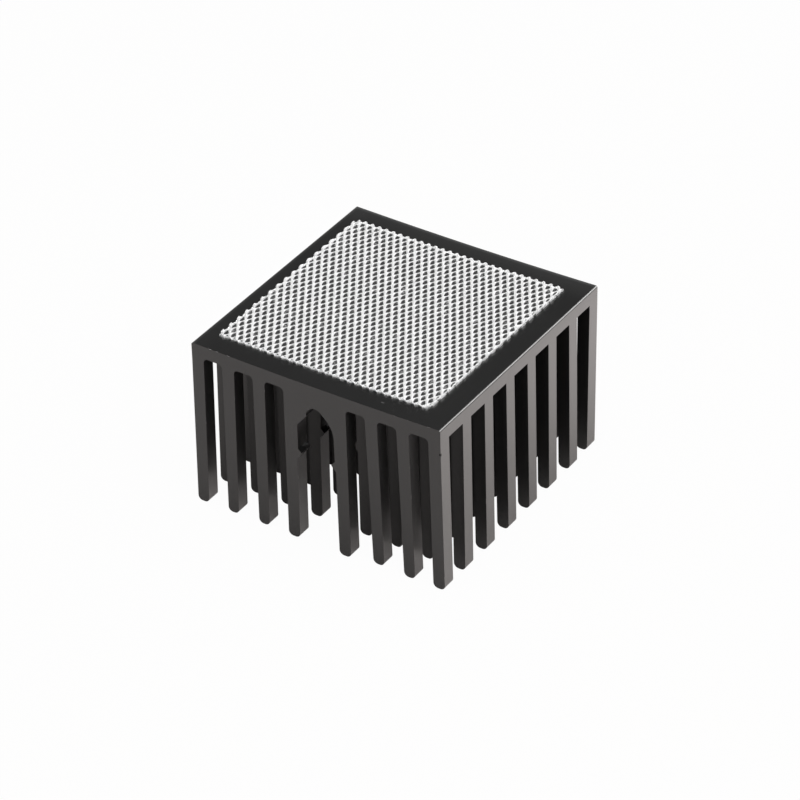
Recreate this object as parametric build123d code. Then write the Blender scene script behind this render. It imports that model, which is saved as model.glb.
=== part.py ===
from build123d import *
import math
import os

os.makedirs("parts", exist_ok=True)

# A pin-fin heat sink for a chip package, standing on its pin tips with its taped
# mounting face up.  Sizes are in millimetres and angles in degrees.  X runs across the
# fins, Y along the extrusion.  The origin is on the surface that the tips stand on,
# below the middle of the base.

# Bare extrusion, over all
width = 27.0
length = 27.4
height = 18.0

# Extruded profile: a base, and on each side of the clip channel a row of upright fins,
# thickest at their roots
fins_per_side = 4
fin_thickness = 1.30
inner_fin_thickness = 1.42
fin_draft = 0.2
base_thickness = 1.35
root_radius = 0.45
tip_flat = 0.18
face_edge_radius = 0.22

# Saw cuts across the fins, which leave square pins
saw_slot = 2.30
saw_pitch = 3.705
least_end_pin = 1.0
base_under_saw = 1.45

# Clip channel along the middle: an arched top, a ledge on its left shoulder, a long
# haunch on its right one, and a sharp lip on each wall above the wider mouth
channel_width = 3.92
mouth_width = 4.10
arch_depth = 2.45
arch_radius = 0.95
shoulder_angle = 35.0
haunch_drop = 1.80
ledge_step = 0.20
ledge_drop = 1.45
lip_depth = 7.62
lip_projection = 0.44
lip_upper_flank = 0.45
lip_lower_flank = 0.65

# Mounting tape: slit and stretched foil bedded in adhesive, laid a little off centre
tape_side = 23.1
tape_offset_x = -0.45
film_thickness = 0.10
strand_height = 0.18
strand_width = 0.34
mesh_pitch_x = 0.80
mesh_pitch_y = 1.29

channel_half = channel_width / 2
fin_pitch = (width / 2 - channel_half - inner_fin_thickness) / (fins_per_side - 1)
slot_height = height - base_thickness
slot_top = fin_pitch - fin_thickness
slot_mouth = slot_top + 2 * slot_height * math.tan(math.radians(fin_draft))
tip_radius = (fin_pitch - slot_mouth - tip_flat) / 2
saw_cuts = int((length - least_end_pin) / saw_pitch)


def channel_outline():
    """Clip channel in section, open below the pin tips."""
    arch_middle = height - arch_depth - arch_radius
    arch_left = (-arch_radius, arch_middle)
    arch_top = (0, height - arch_depth)
    turn = math.radians(shoulder_angle)
    shoulder = (arch_radius * math.cos(turn), arch_middle + arch_radius * math.sin(turn))
    spring = (channel_half, arch_middle - haunch_drop)
    lip_top = height - lip_depth
    lip_tip = lip_top - lip_upper_flank
    lip_foot = lip_tip - lip_lower_flank
    below_tips = -tip_radius

    def wall_below_lip(side):
        return [
            (side * channel_half, lip_top),
            (side * (channel_half - lip_projection), lip_tip),
            (side * mouth_width / 2, lip_foot),
            (side * mouth_width / 2, below_tips),
        ]

    with BuildSketch() as outline:
        with BuildLine():
            Polyline(
                arch_left,
                (-arch_radius, arch_middle - ledge_step),
                (-channel_half, arch_middle - ledge_drop),
                *wall_below_lip(-1),
                *reversed(wall_below_lip(1)),
                spring,
            )
            TangentArc(spring, shoulder, tangent=(0, 1))
            ThreePointArc(shoulder, arch_top, arch_left)
        make_face()
    return outline.sketch


def fin_profile():
    """Base and fins in section, with sharp corners, at the far end of the extrusion."""
    first_slot = channel_half + inner_fin_thickness + slot_top / 2
    channel = channel_outline()
    with BuildSketch(Plane.XZ.offset(-length / 2)) as section:
        with Locations((0, height / 2)):
            Rectangle(width, height)
        for i in range(fins_per_side - 1):
            middle = first_slot + i * fin_pitch
            with Locations((-middle, slot_height / 2), (middle, slot_height / 2)):
                Trapezoid(slot_mouth, slot_height, 90 - fin_draft, mode=Mode.SUBTRACT)
        add(channel, mode=Mode.SUBTRACT)
    return section.sketch


def heat_sink():
    """The one-piece body: profile drawn out along Y, corners rounded, then sawn across."""
    section = fin_profile()
    cut_height = height - base_under_saw
    with BuildPart() as body:
        extrude(section, amount=length)
        for level, radius in (
            (height, face_edge_radius),
            (slot_height, root_radius),
            (0, tip_radius),
        ):
            corners = body.edges().filter_by(Axis.Y).group_by(Axis.Z)
            fillet(min(corners, key=lambda row: abs(row[0].center().Z - level)), radius)
        with Locations((0, 0, cut_height / 2)):
            with GridLocations(width, saw_pitch, 1, saw_cuts):
                Box(width, saw_slot, cut_height, mode=Mode.SUBTRACT)
    return body.part


def thermal_tape():
    """Adhesive film with the raised diagonal strands of its stretched foil."""
    run = (mesh_pitch_x / 2, -mesh_pitch_y / 2)
    run_length = math.hypot(*run)
    strand_spacing = mesh_pitch_x * mesh_pitch_y / 2 / run_length
    across = (-run[1] / run_length, run[0] / run_length)
    reach = tape_side / 2 * (abs(across[0]) + abs(across[1]))
    strands = 2 * int(reach / strand_spacing) + 1
    with BuildPart() as tape:
        with Locations((tape_offset_x, 0, height + film_thickness / 2)):
            Box(tape_side, tape_side, film_thickness)
        with BuildSketch(Plane.XY.offset(height + film_thickness)):
            angle = math.degrees(math.atan2(run[1], run[0]))
            with Locations(Location((tape_offset_x, 0, 0), (0, 0, angle))):
                with GridLocations(run_length, strand_spacing, 1, strands):
                    Rectangle(2 * tape_side, strand_width)
            with Locations((tape_offset_x, 0)):
                Rectangle(tape_side, tape_side, mode=Mode.INTERSECT)
        extrude(amount=strand_height)
    return tape.part


pieces = {
    "heat_sink": heat_sink(),
    "thermal_tape": thermal_tape(),
}
for name, piece in pieces.items():
    piece.label = name
    export_step(piece, f"parts/{name}.step")
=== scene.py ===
import math
import random

import bmesh
import bpy
from mathutils import Matrix, Vector


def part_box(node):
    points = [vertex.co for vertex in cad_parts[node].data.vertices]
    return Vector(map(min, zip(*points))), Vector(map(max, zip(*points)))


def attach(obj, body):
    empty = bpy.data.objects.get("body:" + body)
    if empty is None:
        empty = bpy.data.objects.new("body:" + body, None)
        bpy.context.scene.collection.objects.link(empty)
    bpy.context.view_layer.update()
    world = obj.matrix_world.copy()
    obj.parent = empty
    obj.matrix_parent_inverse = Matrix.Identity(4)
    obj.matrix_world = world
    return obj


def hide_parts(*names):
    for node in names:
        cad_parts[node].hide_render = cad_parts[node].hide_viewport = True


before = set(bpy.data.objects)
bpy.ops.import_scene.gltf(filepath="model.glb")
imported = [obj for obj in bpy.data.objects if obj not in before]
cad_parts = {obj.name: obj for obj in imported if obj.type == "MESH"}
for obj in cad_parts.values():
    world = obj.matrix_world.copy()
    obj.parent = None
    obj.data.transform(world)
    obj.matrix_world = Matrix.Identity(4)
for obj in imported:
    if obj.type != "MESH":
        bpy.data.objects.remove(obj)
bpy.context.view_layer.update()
body_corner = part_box("heat_sink")[1]

MM = 0.001

# Photographed view: what the lens looks at, and from where
view_target = Vector((0.715, -0.769, 8.98)) * MM
view_distance = 357.8 * MM
view_azimuth = math.radians(33.606)
view_elevation = math.radians(34.986)
view_roll = math.radians(-1.267)
view_lens = 172.17
sensor_width = 36.0
view_clip = 0.01

# Soft boxes: name, place and side in metres, and power.  They face the middle of the part
# in a dim room.
lamps = [
    ("overhead", (0.10, -0.10, 0.50), 0.80, 4.8),
    ("key", (0.30, -0.05, 0.50), 0.25, 0.6),
    ("right fill", (0.15, 0.21, 0.10), 0.12, 0.12),
    ("front fill", (-0.20, -0.45, 0.25), 0.30, 0.20),
]
lamp_aim = (0, 0, 0.009)
room_light = 0.05

# White surround: how much of it the camera sees as pure white, and how much of a brighter
# white reflections show under the part, around it and in the distance, with the stretches
# in metres over which that rises and falls. The low share under and near the part is painted
# shade, the part's contact shadow as reflections show it, and the fall in the distance is
# painted shade of a dim room.
backdrop_radius = 1.5
backdrop_height = 0.30
backdrop_sides = 96
shown_white = 0.97
near_glow = 0.02
far_glow = 0.89
distant_glow = 0.10
glow_strength = 1.17
glow_middle = (0.0, 0.0025, 0.0)
glow_rise = (0.008, 0.042)
glow_fall = (0.09, 0.13)
glow_tint = (1.05, 0.985, 0.965, 1.0)
floor_colour = (0.505, 0.475, 0.46, 1.0)

# A little more of that white, a painted pool of light that reflections show below the open
# channel
channel_glow = 0.08
channel_glow_sides = (0.003, 0.006)
channel_glow_ends = (0.012, 0.018)

# Foil: a web of slit and stretched aluminium on a film of adhesive, its openings in a skewed
# lattice, and the heights of its strands over the film
foil_pitch_x = 0.7960 * MM
foil_pitch_y = 1.2867 * MM
foil_skew_x = -0.0099
foil_skew_y = -0.0038
foil_centre_opening = Vector((-0.103, 0.040)) * MM
foil_crest = 0.175 * MM
foil_bond = 0.165 * MM
foil_link = 0.090 * MM
foil_rim = 0.050 * MM
foil_sink = 0.10 * MM
foil_waviness = 0.05 * MM
foil_wave = 0.9 * MM
foil_weld = 0.01 * MM
foil_seed = 7
foil_crease = math.radians(50)
film_thickness = 0.10 * MM
film_margin = 0.45 * MM

# One opening: its corners in millimetres, how far its sides bulge, and where the crown of a
# strand and its foot lie between the opening's middle, its rim and the strand's middle
opening_corners = [(-0.105, 0.475), (0.290, -0.040), (-0.020, -0.435), (-0.240, 0.200)]
opening_bulges = (0.0, 0.010, 0.050, 0.020)
opening_side_steps = 4
strand_crown = 0.42
strand_crown_rise = 0.65
strand_foot = 0.96

# Cut edge of the foil: its corners in millimetres, and the low strand inside it, with its
# section as shares of the way out and of its height
foil_outline = [
    (-12.03, -11.50),
    (10.35, -11.46),
    (10.86, -11.00),
    (11.16, 11.53),
    (-11.50, 11.58),
    (-12.02, 11.15),
]
border_inset = 0.14
border_width = 0.08
border_step = 0.16
border_wobble = 0.05
border_height = 0.06 * MM
border_section = [(0.0, 0.5), (0.35, 1.0), (0.75, 1.0), (1.0, 0.4)]

# Body: how its surface is welded and its flat faces joined, small breaks on its sharp edges,
# and a mounting face that is slightly hollow across, as extruded bases are
body_weld = 0.0005 * MM
body_flat = math.radians(0.3)
body_crease = math.radians(25)
sharp_edge = math.radians(30)
edge_break = 0.045 * MM
face_hollow = 0.17 * MM
slice_step = 3.0 * MM

# Blunted tips of the lips in the channel
lip_tip_x = 1.52 * MM
lip_tip_z = 9.93 * MM
lip_tip_reach = 0.02 * MM
lip_blunt = 0.09 * MM

# Leaning pins, in millimetres at the tips: how far each column leans across, from the left,
# and how much further some pins lean across and along, by column and row from the front
pin_root = 16.2 * MM
column_pitch = 3.373 * MM
row_pitch = 3.705 * MM
channel_half = 1.96 * MM
column_leans = (-0.28, -0.22, -0.12, -0.09, 0.10, 0.08, 0.12, 0.14)
bent_pins = {
    (1, 1): (-0.01, 0.09),
    (2, 1): (-0.03, 0.09),
    (3, 1): (-0.01, 0.09),
    (5, 1): (0.15, -0.08),
    (6, 1): (0.10, 0.45),
    (7, 1): (0.16, 0.28),
    (8, 1): (-0.07, 0.29),
    (5, 2): (0.00, -0.12),
    (6, 2): (-0.02, -0.14),
    (7, 2): (-0.02, -0.14),
    (8, 2): (-0.06, 0.04),
    (8, 4): (0.03, 0.06),
    (8, 5): (0.01, 0.09),
    (8, 7): (0.01, 0.05),
    (8, 8): (-0.16, -0.14),
}

# Greys of the finishes: the dye from its darkest to its palest, bare metal, which also paints
# the highlight on the rounded right edge, the foil from scuffed to bright, and the adhesive
# from clear over the black base to milky, which also paints its glints
dye_dark = 0.0085
dye_pale = 0.0125
dye_warmth = 0.02
bare_metal_and_highlight = 0.55
bare_warmth = 0.01
foil_scuffed = 0.88
foil_bright = 1.0
adhesive_clear = 0.035
adhesive_milky_and_glint = 0.30

# Gloss of the anodised faces: their roughness and what adds to it, and the sealed skin on
# the extruded ones
satin = 0.27
cloud_dulls = 0.05
saw_dulls = 0.15
chip_dulls = 0.5
sealed = 0.90
seal_mottle = 0.08

# Fine relief of the body, the foil and the adhesive
body_relief = 0.004 * MM
foil_relief = 0.006 * MM
adhesive_relief = 0.03 * MM

# Worn metal and a painted highlight: the highlight's share on the rounded right edge of the
# mounting face, painted where that faces far enough right and up, the worn metal's share on
# the lips, how even both are, and the share from which it shines as metal. Small breaks are
# bare in patches.
painted_edge_highlight = 0.72
edge_highlight_depth = 0.25 * MM
edge_highlight_right = 0.4
edge_highlight_up = 0.6
rubbed_lip = 1.0
wear_and_highlight_even = 0.75
rubbed_shines = 0.9
bare_patches = 0.6

# Nicks in the front edge: places and half lengths in millimetres
front_nicks = [(-11.39, 0.17), (-10.61, 0.12), (-9.38, 0.14)]
nick_edge_y = 13.6 * MM
nick_edge_z = 17.7 * MM

# Light flecks on the mounting face: places and half sizes in millimetres
face_flecks = [(6.64, -12.50, 0.17, 0.07)]
fleck_share = 0.12
facing_up = 0.9

# Dark chips in the front right edge: heights and half heights in millimetres
edge_chips = [(15.37, 0.13), (5.07, 0.10)]
chip_depth = 0.16 * MM
chip_grey = 0.002

# Sawn faces along the front, paler with painted light: how far back the leaning ones reach, and
# their grey
outer_depth = 1.0 * MM
front_sawn_painted_light = 0.022

# Sawn faces inside the rows: their grey, darker with painted shade from the rows in front, and
# at the tips, paler with painted light, with the heights between
inner_sawn_painted_shade = 0.003
tip_painted_light = 0.019
tip_fade = (0.5 * MM, 4.0 * MM)

# Painted sheen on the mounting face: added shares of white towards the back and the left, with
# the stretches over which they rise, and along those two edges, with its reach
back_sheen = (0.013, 10.0 * MM, 13.7 * MM)
left_sheen = (0.004, 11.0 * MM, 13.0 * MM)
edge_sheen = 0.045
edge_sheen_reach = 0.5 * MM


class Value:
    """One node output that Python arithmetic can combine."""

    def __init__(self, nodes, socket):
        self.nodes = nodes
        self.socket = socket

    def math(self, operation, *operands):
        return self.nodes.add("ShaderNodeMath", {"operation": operation}, operands)

    def __add__(self, other):
        return self.math("ADD", self, other)

    def __radd__(self, other):
        return self.math("ADD", other, self)

    def __sub__(self, other):
        return self.math("SUBTRACT", self, other)

    def __rsub__(self, other):
        return self.math("SUBTRACT", other, self)

    def __mul__(self, other):
        return self.math("MULTIPLY", self, other)

    def __rmul__(self, other):
        return self.math("MULTIPLY", other, self)

    def __gt__(self, other):
        return self.math("GREATER_THAN", self, other)

    def __lt__(self, other):
        return self.math("LESS_THAN", self, other)

    def __abs__(self):
        return self.math("ABSOLUTE", self)

    def ramp(self, low, high):
        """0 below low, 1 above high and a smooth rise between."""
        settings = {"interpolation_type": "SMOOTHSTEP"}
        inputs = {"Value": self, "From Min": low, "From Max": high}
        return self.nodes.add("ShaderNodeMapRange", settings, inputs)

    def near(self, place, reach):
        """1 within reach of a place, both in millimetres, and 0 beyond."""
        return abs(self - place * MM) < reach * MM


class Nodes:
    """Adds nodes to one tree, for a material or for geometry."""

    def __init__(self, tree):
        self.tree = tree

    def add(self, kind, settings=None, inputs=(), output=0):
        """A node of that kind: its settings first, then the values or links of its sockets."""
        node = self.tree.nodes.new(kind)
        for name, value in (settings or {}).items():
            setattr(node, name, value)
        pairs = inputs.items() if isinstance(inputs, dict) else enumerate(inputs)
        for name, value in pairs:
            self.join(value, node.inputs[name])
        return Value(self, node.outputs[output])

    def join(self, value, socket):
        if isinstance(value, Value):
            self.tree.links.new(value.socket, socket)
        else:
            socket.default_value = value


class Finish(Nodes):
    """A material with one Principled shader."""

    def __init__(self, name, **fixed):
        self.material = bpy.data.materials.new(name)
        self.material.use_nodes = True
        super().__init__(self.material.node_tree)
        self.shader = self.tree.nodes["Principled BSDF"]
        self.place = self.add("ShaderNodeTexCoord", output="Object")
        for name, value in fixed.items():
            self.shader.inputs[name.replace("_", " ")].default_value = value

    def set(self, name, value):
        self.join(value, self.shader.inputs[name])

    def noise(self, *scale, detail=2.0, roughness=0.5):
        """Noise from 0 to 1; scale is in features for each metre, along all axes or each."""
        scale = scale if len(scale) == 3 else scale * 3
        stretched = {"Vector": self.place, "Scale": scale}
        inputs = {
            "Vector": self.add("ShaderNodeMapping", None, stretched),
            "Scale": 1.0,
            "Detail": detail,
            "Roughness": roughness,
        }
        return self.add("ShaderNodeTexNoise", None, inputs, output="Fac")

    def colour(self, share, start, end):
        """A colour between start and end by a share from 0 to 1."""
        mix = self.tree.nodes.new("ShaderNodeMix")
        mix.data_type = "RGBA"
        for value, index in ((share, 0), (start, 6), (end, 7)):
            self.join(value, mix.inputs[index])
        return Value(self, mix.outputs[2])

    def attribute(self, name):
        return self.add("ShaderNodeAttribute", {"attribute_name": name}, output="Fac")

    def place_part(self, axis):
        return self.add("ShaderNodeSeparateXYZ", None, {"Vector": self.place}, output=axis)

    def normal_part(self, axis):
        """How far the surface faces along an axis, from 0 to 1, either way."""
        normal = self.add("ShaderNodeNewGeometry", output="Normal")
        part = self.add("ShaderNodeSeparateXYZ", None, {"Vector": normal}, output=axis)
        return abs(part)

    def bump(self, height, depth):
        """Relief of that depth in metres, from a height between 0 and 1."""
        inputs = {"Height": height, "Strength": 1.0, "Distance": depth}
        self.set("Normal", self.add("ShaderNodeBump", None, inputs))


def grey(level, warm=0.0):
    return (level * (1 + warm), level, level * (1 - warm), 1.0)


def painted_face_sheen(y, leftward):
    """The share of white painted on the mounting face as sheen towards the back and the left."""
    sheen = 0
    for place, edge, (most, *stretch) in (
        (y, body_corner.y, back_sheen),
        (leftward, body_corner.x, left_sheen),
    ):
        along_edge = edge_sheen * place.ramp(edge - edge_sheen_reach, edge)
        sheen = sheen + most * place.ramp(*stretch) + along_edge
    return sheen


def black_anodised():
    """Dyed oxide on aluminium: satin on the extruded faces, duller where the saw cut. Painted
    shade darkens the sawn faces inside the rows, painted light brightens their tips and the
    front ones, a painted sheen lies on the mounting face and a painted highlight on its rounded
    right edge.
    """
    finish = Finish("black anodised", IOR=1.48, Coat_IOR=1.9, Coat_Roughness=0.24)
    x, y, z = (finish.place_part(axis) for axis in "XYZ")
    upward = (finish.normal_part("Z") > facing_up) * (z > nick_edge_z)
    sawn = finish.normal_part("Y").ramp(0.55, 0.75)
    outer = sawn * (y < outer_depth - body_corner.y)

    nicked = sum(x.near(*nick) for nick in front_nicks)
    nicked = nicked * (y < -nick_edge_y) * (z > nick_edge_z)
    flecks = sum(x.near(at, wide) * y.near(along, deep) for at, along, wide, deep in face_flecks)
    chipped = sum(z.near(*chip) for chip in edge_chips)
    chipped = chipped * (x > body_corner.x - chip_depth) * (y < chip_depth - body_corner.y)
    worn_and_highlit = finish.attribute("rubbed_and_highlit")
    patches = finish.noise(900, detail=4).ramp(0.62, 0.70)
    bare_and_highlit = finish.attribute("edge_break") * (bare_patches * patches + nicked)
    uneven = wear_and_highlight_even + (1 - wear_and_highlight_even) * finish.noise(400, 1500, 400)
    # the painted highlight on the rounded right edge and the worn metal on the lips take the
    # pale bare grey
    bare_and_highlit = bare_and_highlit + worn_and_highlit * uneven
    bare_and_highlit = bare_and_highlit + flecks * upward * fleck_share
    bare_and_highlit = bare_and_highlit.math("MINIMUM", bare_and_highlit, 1.0)

    cloud = finish.noise(180, detail=3)
    colour = finish.colour(cloud, grey(dye_dark), grey(dye_pale, dye_warmth))
    # painted shade on the sawn faces inside the rows, giving way to painted light at the tips,
    # and painted light on the sawn faces along the front
    inner = finish.colour(z.ramp(*tip_fade), grey(tip_painted_light), grey(inner_sawn_painted_shade))
    colour = finish.colour(sawn, colour, inner)
    colour = finish.colour(outer, colour, grey(front_sawn_painted_light))
    # painted sheen: white mixed into the mounting face towards the back and the left
    colour = finish.colour(painted_face_sheen(y, 0 - x) * upward, colour, grey(1.0))
    colour = finish.colour(bare_and_highlit, colour, grey(bare_metal_and_highlight, bare_warmth))
    finish.set("Base Color", finish.colour(chipped, colour, grey(chip_grey)))
    finish.set("Metallic", worn_and_highlit > rubbed_shines)
    dulled = cloud_dulls * cloud + saw_dulls * sawn + chip_dulls * chipped
    finish.set("Roughness", satin + dulled)
    mottle = finish.noise(700, 700, 350, detail=4, roughness=0.6)
    finish.set("Coat Weight", (sealed + seal_mottle * mottle) * (1 - sawn) * (1 - chipped))
    grain = finish.noise(6000, 900, 900, detail=2)
    saw_marks = finish.noise(5200, 300, 260, detail=3)
    finish.bump(grain * (1 - sawn) + saw_marks * sawn, body_relief)
    return finish.material


def bright_foil():
    """Bare rolled foil, scuffed and stretched, nearly white under a broad light."""
    finish = Finish("bright foil", IOR=1.5, Metallic=0.25)
    mottle = finish.noise(2600, detail=3)
    scuffed = finish.colour(mottle.ramp(0.3, 0.7), grey(foil_scuffed), grey(foil_bright))
    finish.set("Base Color", scuffed)
    finish.set("Roughness", 0.36 + 0.16 * mottle)
    finish.bump(finish.noise(9000, detail=2), foil_relief)
    return finish.material


def clear_adhesive():
    """Glossy film over the black base, rippled, with milky spots and painted glints."""
    finish = Finish("clear adhesive", IOR=1.48)
    cloudy = finish.noise(1100, detail=3).ramp(0.62, 0.78)
    # painted glints: lighter spots in the colour that stand for reflections off the film
    glints = finish.noise(4200, detail=2).ramp(0.60, 0.72)
    milky_and_glints = cloudy + glints - cloudy * glints
    finish.set("Base Color", finish.colour(milky_and_glints, grey(adhesive_clear), grey(adhesive_milky_and_glint)))
    ripple = finish.noise(2400, detail=2)
    finish.set("Roughness", 0.22 + 0.2 * ripple)
    finish.bump(ripple, adhesive_relief)
    return finish.material


def new_piece(name, mesh, material):
    mesh.materials.clear()
    mesh.materials.append(material)
    piece = bpy.data.objects.new(name, mesh)
    bpy.context.scene.collection.objects.link(piece)
    return piece


def cut_at(shape, place, across, **options):
    """Cuts a whole shape by a plane through a place, square to a direction."""
    everything = [*shape.verts, *shape.edges, *shape.faces]
    return bmesh.ops.bisect_plane(
        shape, geom=everything, plane_co=place, plane_no=across, **options
    )


def slice_across(shape):
    """Cuts a shape by evenly spaced planes across X, so that it can follow the hollow."""
    cuts = int(body_corner.x / slice_step)
    for k in range(-cuts, cuts + 1):
        cut_at(shape, (k * slice_step, 0, 0), (1, 0, 0))


def joined_rings(shape, columns, closed):
    """Faces between columns of points that stand in a ring, each column open or closed."""
    for here, there in zip(columns, columns[1:] + columns[:1]):
        for k in range(len(here) if closed else len(here) - 1):
            n = (k + 1) % len(here)
            shape.faces.new((here[k], there[k], there[n], here[n]))


def column_of(shape, rings):
    """Points of a shape from places in plan, each with its height."""
    return [shape.verts.new((p.x, p.y, z)) for p, z in rings]


def hollow(x):
    """How far the mounting face lies below its corners at x."""
    return face_hollow * (1 - (x / body_corner.x) ** 2)


def lean(place):
    """How far a point of a pin stands off the upright, across and along."""
    middle = len(column_leans) // 2
    step = max(0, math.floor((abs(place.x) - channel_half) / column_pitch))
    column = middle + 1 + step if place.x > 0 else middle - step
    row = middle + 1 + math.floor(place.y / row_pitch)
    share = max(0.0, 1 - place.z / pin_root)
    further = Vector(bent_pins.get((column, row), (0, 0)))
    return (further + Vector((column_leans[column - 1], 0))) * MM * share


def on_lip_tip(place):
    off_x = abs(abs(place.x) - lip_tip_x)
    off_z = abs(place.z - lip_tip_z)
    return max(off_x, off_z) < lip_tip_reach


def on_highlit_edge(face):
    """Whether a face is on the part of the rounded right edge that faces right and up, where a
    highlight is painted.
    """
    high = face.calc_center_median().z > body_corner.z - edge_highlight_depth
    return high and face.normal.x > edge_highlight_right and face.normal.z > edge_highlight_up


def flattened(shape, edges, width):
    """Takes a narrow flat off some edges and gives its faces."""
    return bmesh.ops.bevel(
        shape, geom=edges, offset=width, segments=1, affect="EDGES", clamp_overlap=True
    )["faces"]


def pin_fin_body(node):
    """The body as one welded surface, with the small breaks on its sharp edges, the blunted
    lips of its channel, the hollow of its mounting face and its bent pins."""
    shape = bmesh.new()
    shape.from_mesh(node.data)
    broken = shape.faces.layers.float.new("edge_break")
    rubbed_and_highlit = shape.faces.layers.float.new("rubbed_and_highlit")
    bmesh.ops.remove_doubles(shape, verts=shape.verts, dist=body_weld)
    bmesh.ops.dissolve_limit(
        shape, angle_limit=body_flat, verts=shape.verts, edges=shape.edges
    )
    slice_across(shape)
    cut_at(shape, (0, 0, pin_root), (0, 0, 1))
    lip_tips = [e for e in shape.edges if all(on_lip_tip(v.co) for v in e.verts)]
    for face in flattened(shape, lip_tips, lip_blunt):
        face[rubbed_and_highlit] = rubbed_lip
    sharp = [
        e
        for e in shape.edges
        if e.is_manifold
        and e.calc_face_angle(0) > sharp_edge
        and not any(face[rubbed_and_highlit] for face in e.link_faces)
    ]
    for face in flattened(shape, sharp, edge_break):
        face[broken] = 1.0
    for face in shape.faces:
        face.smooth = True
        # faces of the rounded right edge that face right and up get a painted highlight
        if on_highlit_edge(face):
            face[rubbed_and_highlit] = painted_edge_highlight
    for v in shape.verts:
        off = lean(v.co)
        v.co.z -= hollow(v.co.x) * v.co.z / body_corner.z
        v.co += off.to_3d()
    mesh = bpy.data.meshes.new("pin fin body")
    shape.to_mesh(mesh)
    shape.free()
    mesh.set_sharp_from_angle(angle=body_crease)
    return new_piece("pin_fin_body", mesh, black_anodised())


def foil_cell():
    """One opening of the foil with half of each strand around it, about the middle of its
    diamond.  The diamond's sides are the middles of the strands: long crests run down to
    the right, and lower links run up to the right."""
    corners = [
        Vector((0, foil_pitch_y / 2)),
        Vector((foil_pitch_x / 2, 0)),
        Vector((0, -foil_pitch_y / 2)),
        Vector((-foil_pitch_x / 2, 0)),
    ]
    sides = len(corners)
    hole = [Vector(p) * MM for p in opening_corners]
    middle = sum(hole, Vector((0, 0))) / sides
    shape = bmesh.new()
    columns = []
    for side in range(sides):
        start, end = corners[side], corners[(side + 1) % sides]
        first, last = hole[side], hole[(side + 1) % sides]
        outward = Vector((first.y - last.y, last.x - first.x)).normalized()
        strand = foil_crest if side % 2 == 0 else foil_link
        for step in range(opening_side_steps):
            t = step / opening_side_steps
            edge = start.lerp(end, t)
            bulge = math.sin(math.pi * t)
            top = foil_bond + (strand - foil_bond) * bulge
            rim = first.lerp(last, t) + outward * opening_bulges[side] * MM * bulge
            foot = middle.lerp(rim, strand_foot)
            rings = [
                (edge, -foil_sink),
                (foot, -foil_sink),
                (rim, foil_rim),
                (rim.lerp(edge, strand_crown), foil_rim + strand_crown_rise * (top - foil_rim)),
                (edge, top),
            ]
            columns.append(column_of(shape, rings))
    joined_rings(shape, columns, closed=False)
    mesh = bpy.data.meshes.new("foil cell")
    shape.to_mesh(mesh)
    shape.free()
    return mesh


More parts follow.
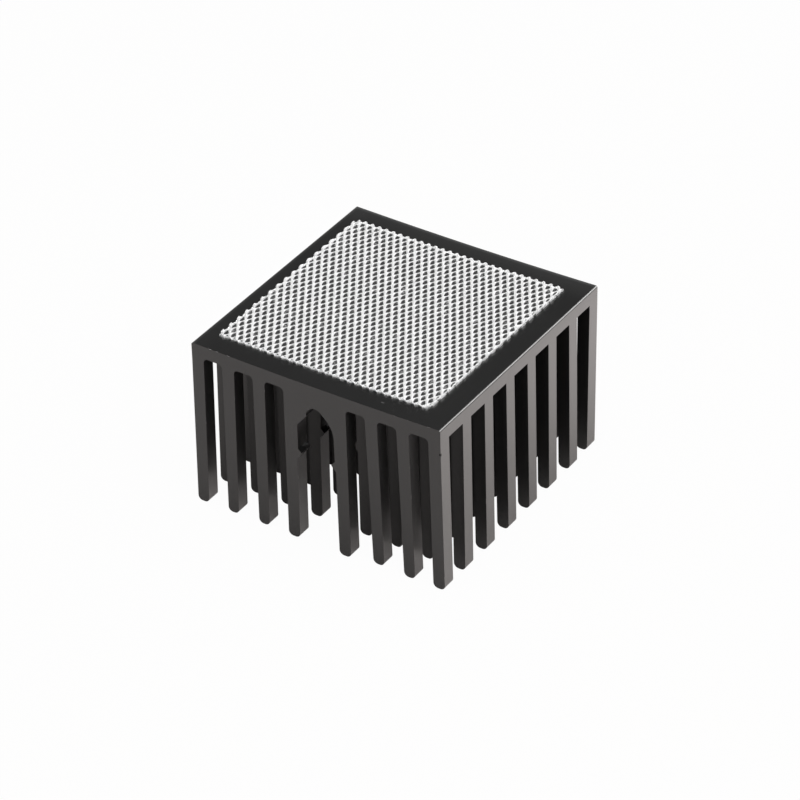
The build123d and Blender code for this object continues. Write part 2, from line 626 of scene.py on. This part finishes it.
def foil_lattice(reach_x, reach_y):
    """Geometry nodes that repeat one cell over a centred lattice and wave it slightly."""
    tree = bpy.data.node_groups.new("stretched foil", "GeometryNodeTree")
    face = tree.interface
    face.new_socket("Cell", in_out="INPUT", socket_type="NodeSocketGeometry")
    for name, kind in (
        ("Columns", "NodeSocketInt"),
        ("Rows", "NodeSocketInt"),
        ("Pitch across", "NodeSocketFloat"),
        ("Pitch along", "NodeSocketFloat"),
        ("Skew across", "NodeSocketFloat"),
        ("Skew along", "NodeSocketFloat"),
        ("First opening", "NodeSocketVector"),
        ("Waviness", "NodeSocketFloat"),
        ("Seed", "NodeSocketFloat"),
        ("Finish", "NodeSocketMaterial"),
    ):
        face.new_socket(name, in_out="INPUT", socket_type=kind)
    face.new_socket("Foil", in_out="OUTPUT", socket_type="NodeSocketGeometry")
    web = Nodes(tree)
    given = tree.nodes.new("NodeGroupInput")
    value = {s.name: Value(web, s) for s in given.outputs if s.name}

    grid = {
        "Size X": (value["Columns"] - 1) * value["Pitch across"],
        "Size Y": (value["Rows"] - 1) * value["Pitch along"] * 0.5,
        "Vertices X": value["Columns"],
        "Vertices Y": value["Rows"],
    }
    points = web.add("GeometryNodeMeshGrid", None, grid)
    place = web.add("GeometryNodeInputPosition")
    x, y = (
        web.add("ShaderNodeSeparateXYZ", None, {"Vector": place}, output=axis)
        for axis in ("X", "Y")
    )
    index = web.add("GeometryNodeInputIndex")
    row = index.math("MODULO", index, value["Rows"])
    shift = row.math("MODULO", row, 2.0) * value["Pitch across"] * 0.5
    across = x + shift
    inputs = {"X": across + y * value["Skew across"], "Y": y + across * value["Skew along"]}
    moved = web.add("ShaderNodeCombineXYZ", None, inputs)
    settings = {"operation": "ADD"}
    seated = web.add("ShaderNodeVectorMath", settings, (moved, value["First opening"]))
    points = web.add("GeometryNodeSetPosition", None, {"Geometry": points, "Position": seated})
    cells = {"Points": points, "Instance": value["Cell"]}
    foil = web.add("GeometryNodeInstanceOnPoints", None, cells)
    foil = web.add("GeometryNodeRealizeInstances", None, {"Geometry": foil})
    inputs = {"Geometry": foil, "Distance": foil_weld}
    foil = web.add("GeometryNodeMergeByDistance", None, inputs)

    settings = {"noise_dimensions": "4D"}
    inputs = {"Vector": place, "W": value["Seed"], "Scale": 1 / foil_wave, "Detail": 1.0}
    wave = web.add("ShaderNodeTexNoise", settings, inputs, output="Color")
    settings = {"operation": "SUBTRACT"}
    wave = web.add("ShaderNodeVectorMath", settings, (wave, (0.5, 0.5, 0.5)))
    settings = {"operation": "MULTIPLY"}
    wave = web.add("ShaderNodeVectorMath", settings, (wave, (1.0, 1.0, 0.0)))
    inputs = {"Vector": wave, "Scale": value["Waviness"]}
    wave = web.add("ShaderNodeVectorMath", {"operation": "SCALE"}, inputs)
    foil = web.add("GeometryNodeSetPosition", None, {"Geometry": foil, "Offset": wave})
    inputs = {"Geometry": foil, "Material": value["Finish"]}
    foil = web.add("GeometryNodeSetMaterial", None, inputs)
    out = tree.nodes.new("NodeGroupOutput")
    web.join(foil, out.inputs["Foil"])

    values = {
        "Columns": 2 * math.ceil(reach_x / foil_pitch_x) + 5,
        "Rows": 4 * math.ceil(reach_y / foil_pitch_y) + 5,
        "Pitch across": foil_pitch_x,
        "Pitch along": foil_pitch_y,
        "Skew across": foil_skew_x,
        "Skew along": foil_skew_y,
        "First opening": foil_centre_opening.to_3d(),
        "Waviness": foil_waviness,
        "Seed": float(foil_seed),
        "Finish": bright_foil(),
    }
    return tree, values


def grown(cell, tree, values):
    """The plain mesh that a node tree makes of a cell with those inputs."""
    seed = bpy.data.objects.new("foil cell", cell)
    bpy.context.scene.collection.objects.link(seed)
    modifier = seed.modifiers.new("foil", "NODES")
    modifier.node_group = tree
    for socket in tree.interface.items_tree:
        if socket.in_out == "INPUT" and socket.name in values:
            modifier[socket.identifier] = values[socket.name]
    depsgraph = bpy.context.evaluated_depsgraph_get()
    mesh = bpy.data.meshes.new_from_object(seed.evaluated_get(depsgraph))
    seed.modifiers.remove(modifier)
    bpy.data.objects.remove(seed)
    return mesh


def trimmed(mesh, outline):
    """Cuts a closed mesh along the sides of a convex outline in plan, corners named counter
    clockwise, and caps the cut strands."""
    shape = bmesh.new()
    shape.from_mesh(mesh)
    for start, end in zip(outline, outline[1:] + outline[:1]):
        outward = (end.y - start.y, start.x - end.x, 0)
        cut = cut_at(shape, start.to_3d(), outward, clear_outer=True)
        rim = [e for e in cut["geom_cut"] if isinstance(e, bmesh.types.BMEdge)]
        bmesh.ops.holes_fill(shape, edges=rim)
    shape.to_mesh(mesh)
    shape.free()
    return mesh


def laid(mesh):
    """Lets a mesh that lies on the mounting face follow its hollow."""
    for v in mesh.vertices:
        v.co.z -= hollow(v.co.x)


def border(outline):
    """The uncut edge that closes the foil all round: a low rounded strand that wobbles."""
    random.seed(foil_seed)
    path = []
    for start, end in zip(outline, outline[1:] + outline[:1]):
        steps = max(1, round((end - start).length / (border_step * MM)))
        path += [start.lerp(end, k / steps) for k in range(steps)]
    shape = bmesh.new()
    columns = []
    for k, here in enumerate(path):
        along = path[(k + 1) % len(path)] - path[k - 1]
        inward = Vector((-along.y, along.x)).normalized() * MM
        outer = here + inward * (border_inset + border_wobble * random.uniform(-1, 1))
        inner = outer + inward * (border_width + border_wobble * random.uniform(-1, 1))
        rings = [(outer, -foil_sink), (inner, -foil_sink)]
        rings += [(inner.lerp(outer, out), up * border_height) for out, up in border_section]
        columns.append(column_of(shape, rings))
    joined_rings(shape, columns, closed=True)
    bmesh.ops.recalc_face_normals(shape, faces=shape.faces)
    return shape


def foil_web(low, high):
    """The stretched foil over the tape's box."""
    reach = (high - low) / 2
    middle = (high + low) / 2
    tree, values = foil_lattice(reach.x + abs(middle.x), reach.y + abs(middle.y))
    mesh = grown(foil_cell(), tree, values)
    outline = [Vector(p) * MM for p in foil_outline]
    mesh = trimmed(mesh, outline)
    shape = border(outline)
    shape.from_mesh(mesh)
    shape.to_mesh(mesh)
    shape.free()
    mesh.transform(Matrix.Translation((0, 0, low.z + film_thickness)))
    mesh.shade_smooth()
    mesh.set_sharp_from_angle(angle=foil_crease)
    return new_piece("stretched_foil", mesh, values["Finish"])


def adhesive_film(low):
    """The film of adhesive that the foil lies in, to just inside the foil's outline."""
    shape = bmesh.new()
    corners = [Vector(p) * MM for p in foil_outline]
    inner = [p * (1 - film_margin / p.length) for p in corners]
    bottom, top = (
        [shape.verts.new((p.x, p.y, z)) for p in inner] for z in (low.z, low.z + film_thickness)
    )
    shape.faces.new(list(reversed(bottom)))
    shape.faces.new(top)
    for k in range(len(corners)):
        n = (k + 1) % len(corners)
        shape.faces.new((bottom[k], bottom[n], top[n], top[k]))
    slice_across(shape)
    mesh = bpy.data.meshes.new("adhesive film")
    shape.to_mesh(mesh)
    shape.free()
    return new_piece("adhesive_film", mesh, clear_adhesive())


def camera():
    """The photographed view."""
    sight = Vector(
        (
            -math.sin(view_azimuth) * math.cos(view_elevation),
            math.cos(view_azimuth) * math.cos(view_elevation),
            -math.sin(view_elevation),
        )
    )
    level = Vector((math.cos(view_azimuth), math.sin(view_azimuth), 0))
    right = math.cos(view_roll) * level + math.sin(view_roll) * level.cross(sight)
    up = right.cross(sight)
    axes = Matrix((right, up, -sight)).transposed().to_4x4()
    data = bpy.data.cameras.new("camera")
    data.sensor_width = sensor_width
    data.lens = view_lens
    data.clip_start = view_clip
    seen = bpy.data.objects.new("camera", data)
    seen.matrix_world = Matrix.Translation(view_target - sight * view_distance) @ axes
    bpy.context.scene.collection.objects.link(seen)
    bpy.context.scene.camera = seen


def lamp(name, place, size, power):
    """A square soft box at a place in metres, facing the part."""
    data = bpy.data.lights.new(name, "AREA")
    data.shape = "SQUARE"
    data.size = size
    data.energy = power
    light = bpy.data.objects.new(name, data)
    light.location = place
    away = Vector(place) - Vector(lamp_aim)
    light.rotation_euler = away.to_track_quat("Z", "Y").to_euler()
    bpy.context.scene.collection.objects.link(light)


def studio():
    """Soft light from above, the right and the front in a dim room."""
    world = bpy.data.worlds.new("studio")
    bpy.context.scene.world = world
    world.use_nodes = True
    background = world.node_tree.nodes["Background"]
    background.inputs["Color"].default_value = grey(1.0)
    background.inputs["Strength"].default_value = room_light
    for soft_box in lamps:
        lamp(*soft_box)


def glow_in_reflections(nodes):
    """How much of the brighter white reflections show at each place of the surround: little near
    the part as a painted contact shadow, less in the distance as painted shade, and a painted
    pool of light below the channel.
    """
    place = nodes.add("ShaderNodeTexCoord", output="Object")
    settings = {"operation": "DISTANCE"}
    away = nodes.add("ShaderNodeVectorMath", settings, (place, glow_middle), output="Value")
    across = abs(nodes.add("ShaderNodeSeparateXYZ", None, {"Vector": place}, output="X"))
    around = near_glow + away.ramp(*glow_rise) * (far_glow - near_glow)
    around = around - away.ramp(*glow_fall) * (far_glow - distant_glow)
    beside = across.ramp(*channel_glow_sides)
    beyond = away.ramp(*channel_glow_ends)
    return around + channel_glow * (1 - beside) * (1 - beyond)


def backdrop(name, shape):
    """A white surface around the part, which keeps the part's shadow."""
    mesh = bpy.data.meshes.new(name)
    shape.to_mesh(mesh)
    shape.free()
    material = bpy.data.materials.new(name)
    material.use_nodes = True
    tree = material.node_tree
    tree.nodes.remove(tree.nodes["Principled BSDF"])
    nodes = Nodes(tree)
    path = tree.nodes.new("ShaderNodeLightPath")
    camera_ray, glossy_ray, through_ray = (
        Value(nodes, path.outputs[f"Is {kind} Ray"])
        for kind in ("Camera", "Glossy", "Transmission")
    )
    white, glow = (
        nodes.add("ShaderNodeEmission", None, {"Color": colour, "Strength": strength})
        for colour, strength in ((grey(1.0), 1.0), (glow_tint, glow_strength))
    )
    plain = nodes.add("ShaderNodeBsdfDiffuse", None, {"Color": floor_colour})
    mixed = nodes.add("ShaderNodeMixShader", None, (camera_ray * shown_white, plain, white))
    share = (glossy_ray + through_ray) * glow_in_reflections(nodes)
    mixed = nodes.add("ShaderNodeMixShader", None, (share, mixed, glow))
    nodes.join(mixed, tree.nodes["Material Output"].inputs["Surface"])
    new_piece(name, mesh, material)


def floor():
    shape = bmesh.new()
    bmesh.ops.create_circle(
        shape, segments=backdrop_sides, radius=backdrop_radius, cap_ends=True
    )
    backdrop("floor", shape)


def surround():
    """A low white wall around the floor."""
    shape = bmesh.new()
    bmesh.ops.create_circle(shape, segments=backdrop_sides, radius=backdrop_radius)
    wall = bmesh.ops.extrude_edge_only(shape, edges=shape.edges)
    raised = [v for v in wall["geom"] if isinstance(v, bmesh.types.BMVert)]
    bmesh.ops.translate(shape, vec=(0, 0, backdrop_height), verts=raised)
    backdrop("surround", shape)


def dress():
    body = pin_fin_body(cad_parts["heat_sink"])
    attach(body, "root")
    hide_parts("heat_sink")
    low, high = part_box("thermal_tape")
    for piece in (foil_web(low, high), adhesive_film(low)):
        laid(piece.data)
        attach(piece, "root")
        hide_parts("thermal_tape")


camera()
floor()
surround()
studio()
dress()
bpy.context.scene.view_settings.view_transform = "Standard"
